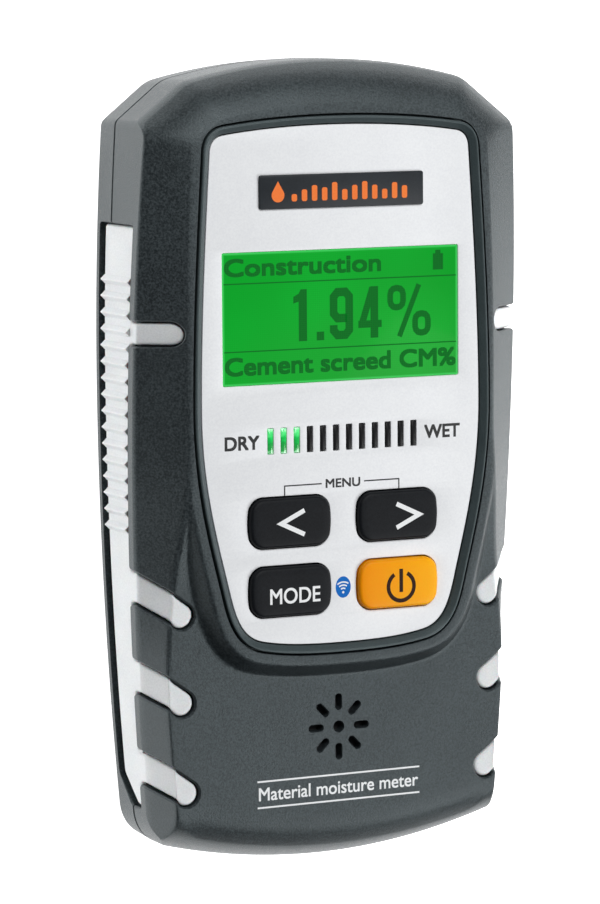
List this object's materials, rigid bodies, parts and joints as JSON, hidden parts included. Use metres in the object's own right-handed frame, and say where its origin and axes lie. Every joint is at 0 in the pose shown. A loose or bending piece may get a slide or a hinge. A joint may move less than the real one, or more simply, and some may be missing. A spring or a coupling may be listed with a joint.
{
  "type": "moisture meter",
  "caption": "Handheld non-destructive moisture meter with a lit display, level bars, four keys, white side grips, rubber measuring pads and a hinged battery door.",
  "frame": {"origin": "on the surface that the meter rests on, below the middle of its bounding box", "axes": "+Z out of the display face, +Y along the case towards the display end, +X to the right of the display"},
  "size_m": [0.0886, 0.168, 0.0323],
  "materials": {
    "case_plastic": "dark slate-grey moulded plastic with a fine spark-eroded grain",
    "insert_plastic": "off-white moulded insert, satin, slightly translucent at its ribs",
    "bezel_plastic": "dark grey-green moulded ring, satin",
    "panel_plastic": "very light grey face plate, smooth satin, printed in black",
    "window_plastic": "clear window over the green-lit display, polished",
    "nameplate_plastic": "dark blue-grey plate with an orange pattern, satin",
    "light_guide": "twelve level bars, lit ones green and the rest black",
    "key_dark": "near-black key with white legend, finely grained",
    "key_orange": "warm orange key with dark legend, finely grained",
    "keypad_rubber": "silicone rubber",
    "component_black": "black component plastic",
    "display_screen": "liquid crystal glass, lit green from behind",
    "circuit_board": "green solder resist over glass-fibre board",
    "plated_steel": "zinc-plated steel",
    "battery_jacket": "printed steel jacket of a plain block battery",
    "foam": "closed-cell foam",
    "conductive_rubber": "matt black rubber",
    "contact_brass": "brass"
  },
  "bodies": {
    "case": {"front_shell": "case_plastic", "rear_shell": "case_plastic", "side_grip_left": "insert_plastic", "side_grip_right": "insert_plastic", "panel_bezel": "bezel_plastic", "face_panel": "panel_plastic", "display_window": "window_plastic", "nameplate": "nameplate_plastic", "level_light_guide": "light_guide", "keypad_mat": "keypad_rubber", "display_frame": "component_black", "display_backlight": "panel_plastic", "display_glass": "display_screen", "main_board": "circuit_board", "processor_chip": "component_black", "radio_module": "plated_steel", "level_led_strip": "panel_plastic", "sounder": "component_black", "board_screw_1": "plated_steel", "board_screw_2": "plated_steel", "board_screw_3": "plated_steel", "board_screw_4": "plated_steel", "battery": "battery_jacket", "battery_contact_board": "circuit_board", "snap_contact_plus": "plated_steel", "snap_contact_minus": "plated_steel", "measuring_pad_left": "conductive_rubber", "electrode_left": "contact_brass", "electrode_pin_left": "contact_brass", "measuring_pad_right": "conductive_rubber", "electrode_right": "contact_brass", "electrode_pin_right": "contact_brass", "case_screw_1": "plated_steel", "case_screw_2": "plated_steel", "case_screw_3": "plated_steel", "case_screw_4": "plated_steel", "foot_left": "conductive_rubber", "foot_right": "conductive_rubber", "dome_left": "keypad_rubber", "dome_right": "keypad_rubber", "dome_mode": "keypad_rubber", "dome_power": "keypad_rubber"},
    "key_left": {"key_left": "key_dark"},
    "key_right": {"key_right": "key_dark"},
    "key_mode": {"key_mode": "key_dark"},
    "key_power": {"key_power": "key_orange"},
    "battery_door": {"battery_door": "case_plastic", "door_foam": "foam"}
  },
  "joints": [
    {"name": "key_left_press", "type": "slide", "parent": "case", "child": "key_left", "axis": [0, 0, -1], "range_m": [0, 0.0008], "stiffness_N_per_m": 2000, "deforming": ["dome_left"]},
    {"name": "key_right_press", "type": "slide", "parent": "case", "child": "key_right", "axis": [0, 0, -1], "range_m": [0, 0.0008], "stiffness_N_per_m": 2000, "deforming": ["dome_right"]},
    {"name": "key_mode_press", "type": "slide", "parent": "case", "child": "key_mode", "axis": [0, 0, -1], "range_m": [0, 0.0008], "stiffness_N_per_m": 2000, "deforming": ["dome_mode"]},
    {"name": "key_power_press", "type": "slide", "parent": "case", "child": "key_power", "axis": [0, 0, -1], "range_m": [0, 0.0008], "stiffness_N_per_m": 2000, "deforming": ["dome_power"]},
    {"name": "battery_door_hinge", "type": "hinge", "parent": "case", "child": "battery_door", "pos_m": [0, -0.0742, 0.0029], "axis": [-1, 0, 0], "range_deg": [0, 95]}
  ]
}
